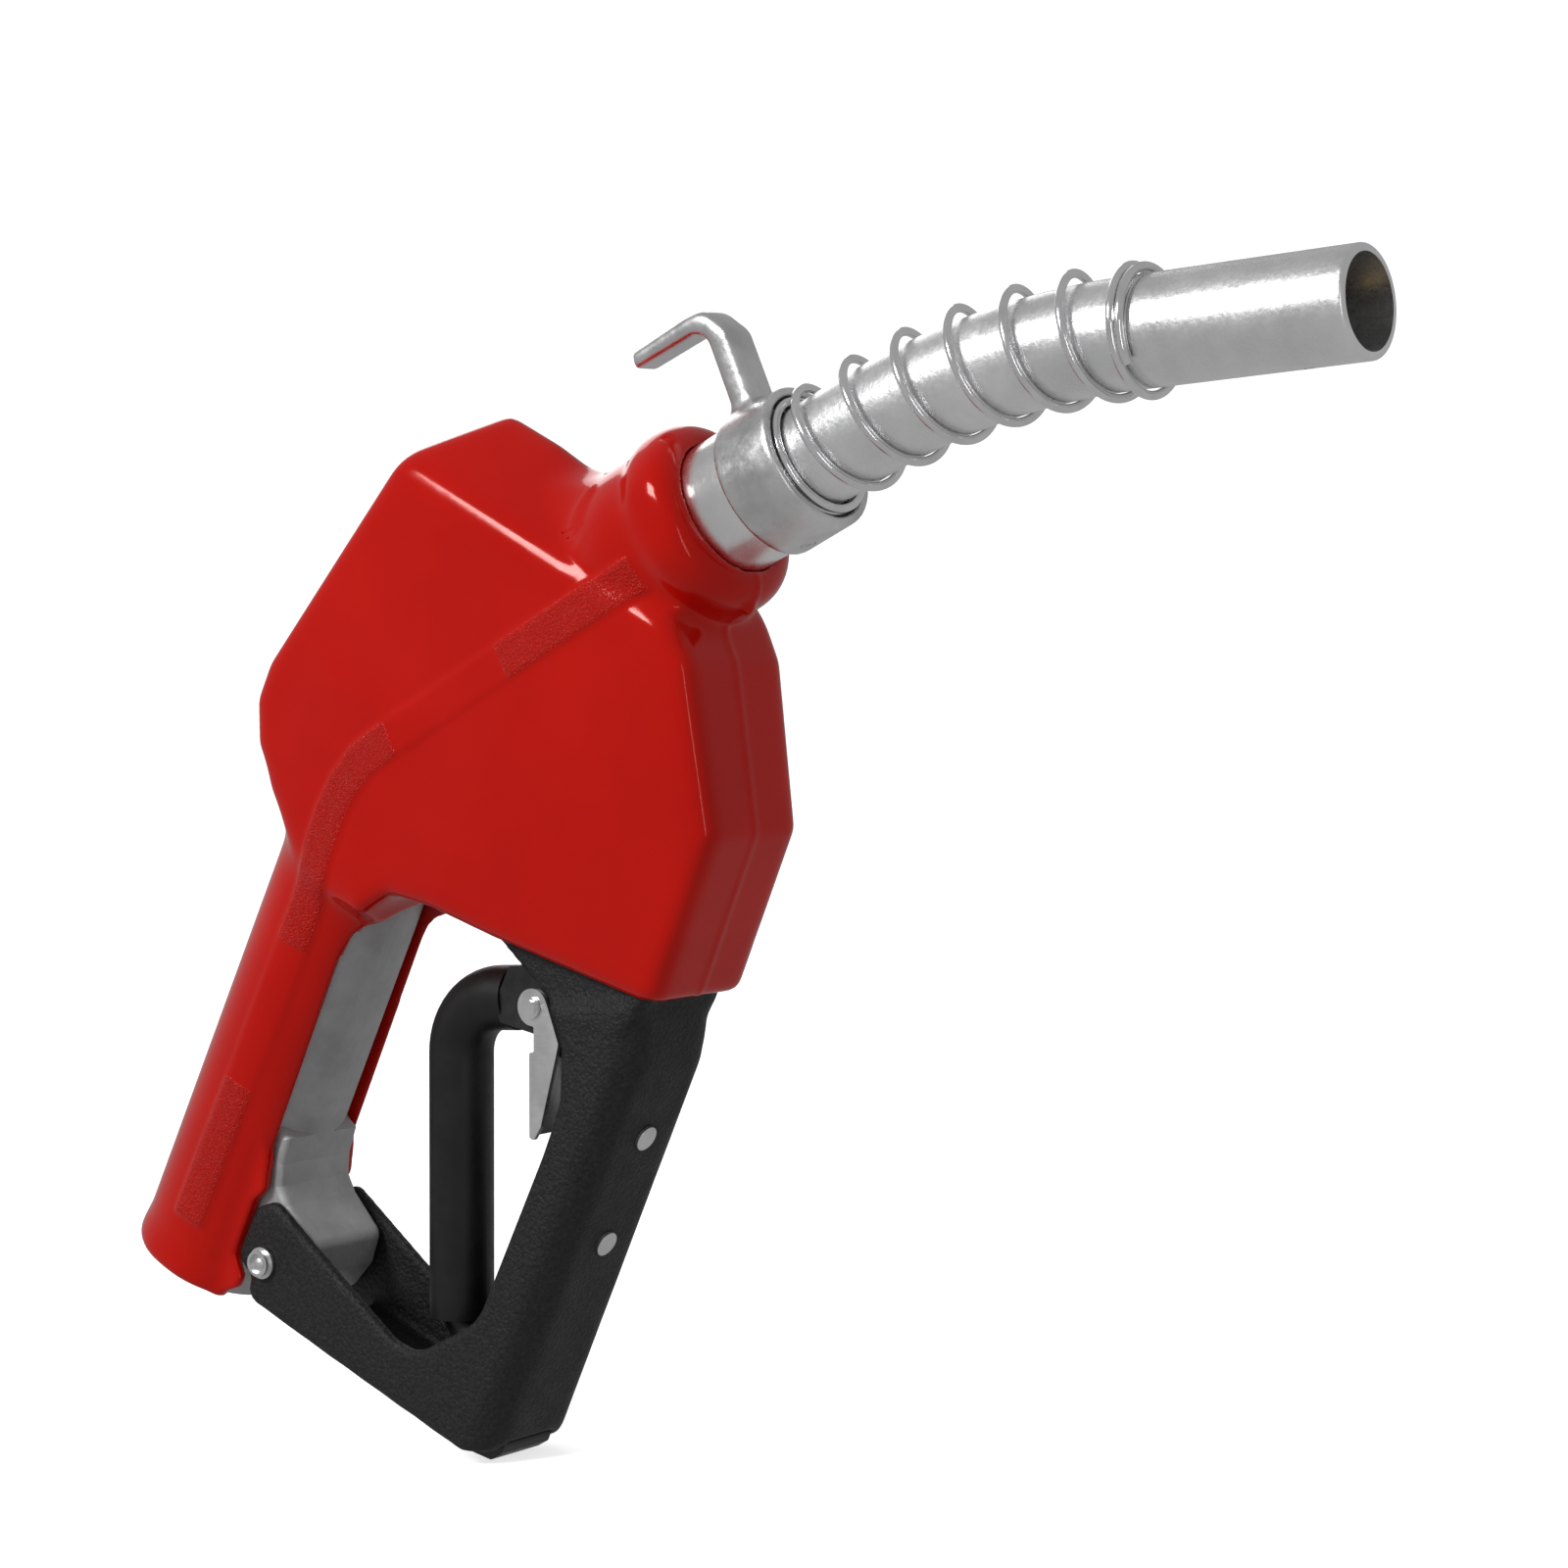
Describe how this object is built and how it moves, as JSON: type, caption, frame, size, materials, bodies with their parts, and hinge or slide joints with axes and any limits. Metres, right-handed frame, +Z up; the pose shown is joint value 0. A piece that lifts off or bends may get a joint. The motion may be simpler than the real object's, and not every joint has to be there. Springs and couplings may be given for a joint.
{
  "type": "automatic fuel nozzle",
  "caption": "Hand-held automatic fuel nozzle with a vinyl-covered cast body, lever and guard, and a bent spout with spring and hook.",
  "frame": {"origin": "centre of the hose inlet face at the lower end of the handle", "axes": "+X along the straight end of the spout towards its mouth, +Z up with the spout level as it hangs on a pump, Y across the nozzle"},
  "size_m": [0.3576, 0.0458, 0.2621],
  "materials": {
    "casting": "cast, bead blasted",
    "red_vinyl": "glossy dipped vinyl",
    "black_plastic": "pebble grained",
    "black_sleeve": "smooth",
    "dark_steel": "black oxide",
    "spout_aluminium": "satin",
    "bushing_aluminium": "turned",
    "collar_casting": "die cast",
    "bright_steel": "bright",
    "stamped_steel": "zinc plated",
    "brass": "machined",
    "seal_rubber": "moulded",
    "acetal": "moulded"
  },
  "bodies": {
    "body": {"body_casting": "casting", "grip_cover": "red_vinyl", "inlet_screen": "stamped_steel", "main_seat": "brass", "main_spring": "bright_steel", "valve_cap": "casting", "cap_ring": "seal_rubber", "stem_packing": "seal_rubber", "gland_nut": "brass", "diaphragm": "seal_rubber", "diaphragm_plate": "stamped_steel", "diaphragm_spring": "bright_steel", "diaphragm_cap": "casting", "cap_screws": "stamped_steel", "guard": "black_plastic", "guard_screws": "stamped_steel", "guard_bolt": "stamped_steel", "hold_rack": "dark_steel", "rack_rivets": "stamped_steel", "guard_bumper": "seal_rubber", "spout_tube": "spout_aluminium", "spout_bushing": "bushing_aluminium", "bushing_pin": "stamped_steel", "bushing_ring": "seal_rubber", "hook_collar": "collar_casting", "collar_screw": "stamped_steel", "spout_spring": "bright_steel", "vent_tube": "acetal", "vent_elbow": "brass", "check_seat": "brass", "check_guide": "acetal"},
    "main_valve": {"main_stem": "bright_steel", "main_poppet": "brass", "poppet_seal": "seal_rubber"},
    "trip": {"trip_stem": "bright_steel", "latch_balls": "bright_steel", "trip_pin": "stamped_steel"},
    "latch": {"latch_pin": "bright_steel"},
    "lever": {"lever": "dark_steel", "lever_sleeve": "black_sleeve", "clip_rivet": "bright_steel"},
    "clip": {"hold_clip": "stamped_steel"},
    "check": {"check_poppet": "acetal", "check_spring": "bright_steel"}
  },
  "joints": [
    {"name": "main_valve_lift", "type": "slide", "parent": "body", "child": "main_valve", "axis": [0, 0, 1], "range_m": [0, 0.0058], "deforming": ["main_spring"]},
    {"name": "trip_drop", "type": "slide", "parent": "body", "child": "trip", "axis": [0.3867, 0, 0.9222], "range_m": [-0.006, 0]},
    {"name": "latch_lift", "type": "slide", "parent": "body", "child": "latch", "axis": [0.3867, 0, 0.9222], "range_m": [0, 0.0015], "stiffness_N_per_m": 300},
    {"name": "lever_squeeze", "type": "hinge", "parent": "trip", "child": "lever", "pos_m": [0.13805, 0, 0.04819], "axis": [0, 1, 0], "range_deg": [0, 14], "stiffness_Nm_per_rad": 2.5},
    {"name": "clip_swing", "type": "hinge", "parent": "lever", "child": "clip", "pos_m": [0.1157, 0, 0.06265], "axis": [0, 1, 0], "range_deg": [-7, 8]},
    {"name": "check_lift", "type": "slide", "parent": "body", "child": "check", "axis": [0.9367, 0, 0.3502], "range_m": [0, 0.0018], "stiffness_N_per_m": 100}
  ],
  "couplings": [
    {"joint": "main_valve_lift", "follows": "lever_squeeze", "m_per_rad": 0.0232}
  ]
}
